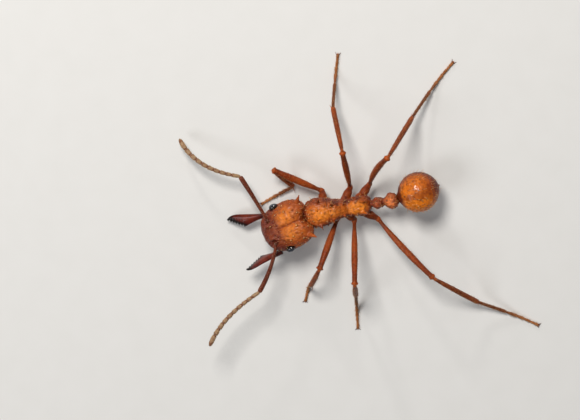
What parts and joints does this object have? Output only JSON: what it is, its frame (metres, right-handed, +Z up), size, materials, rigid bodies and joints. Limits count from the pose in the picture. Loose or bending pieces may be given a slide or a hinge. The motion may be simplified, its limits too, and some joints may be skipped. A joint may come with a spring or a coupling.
{
  "type": "leafcutter ant",
  "caption": "Still life-size leafcutter ant worker in amber and red-brown, standing with spined trunk, heart-shaped head, open toothed jaws and bent feelers.",
  "frame": {"origin": "on the floor under the middle of the whole animal's box", "axes": "+Z up, the head looks along -Y, the ant's left side is +X"},
  "size_m": [0.0146, 0.015, 0.004],
  "materials": {
    "head_cuticle": "translucent amber-brown shell, finely wrinkled, satin",
    "mandible_cuticle": "dark mahogany shell, polished, nearly black teeth",
    "eye": "blue-black, finely faceted, glossy",
    "scape_cuticle": "dark red-brown shell, satin",
    "funiculus_cuticle": "grey-tan with fine pale down, orange at the joints",
    "trunk_cuticle": "amber back, red-brown flanks, satin",
    "waist_cuticle": "red-brown shell, satin",
    "gaster_cuticle": "translucent amber with dark points, glossy",
    "leg_cuticle": "red-brown shell, satin",
    "tarsus_cuticle": "orange-brown with fine pale hairs"
  },
  "bodies": {
    "root": {"head": "head_cuticle", "eye_left": "eye", "eye_right": "eye", "mandible_left": "mandible_cuticle", "mandible_right": "mandible_cuticle", "scape_left": "scape_cuticle", "scape_right": "scape_cuticle", "funiculus_left": "funiculus_cuticle", "funiculus_right": "funiculus_cuticle", "pronotum": "trunk_cuticle", "mesonotum": "trunk_cuticle", "propodeum": "trunk_cuticle", "petiole": "waist_cuticle", "postpetiole": "waist_cuticle", "gaster": "gaster_cuticle", "leg_front_left_coxa": "leg_cuticle", "leg_front_left_femur": "leg_cuticle", "leg_front_left_tibia": "leg_cuticle", "leg_front_left_tarsus": "tarsus_cuticle", "leg_front_right_coxa": "leg_cuticle", "leg_front_right_femur": "leg_cuticle", "leg_front_right_tibia": "leg_cuticle", "leg_front_right_tarsus": "tarsus_cuticle", "leg_middle_left_coxa": "leg_cuticle", "leg_middle_left_femur": "leg_cuticle", "leg_middle_left_tibia": "leg_cuticle", "leg_middle_left_tarsus": "tarsus_cuticle", "leg_middle_right_coxa": "leg_cuticle", "leg_middle_right_femur": "leg_cuticle", "leg_middle_right_tibia": "leg_cuticle", "leg_middle_right_tarsus": "tarsus_cuticle", "leg_hind_left_coxa": "leg_cuticle", "leg_hind_left_femur": "leg_cuticle", "leg_hind_left_tibia": "leg_cuticle", "leg_hind_left_tarsus": "tarsus_cuticle", "leg_hind_right_coxa": "leg_cuticle", "leg_hind_right_femur": "leg_cuticle", "leg_hind_right_tibia": "leg_cuticle", "leg_hind_right_tarsus": "tarsus_cuticle"}
  },
  "joints": []
}
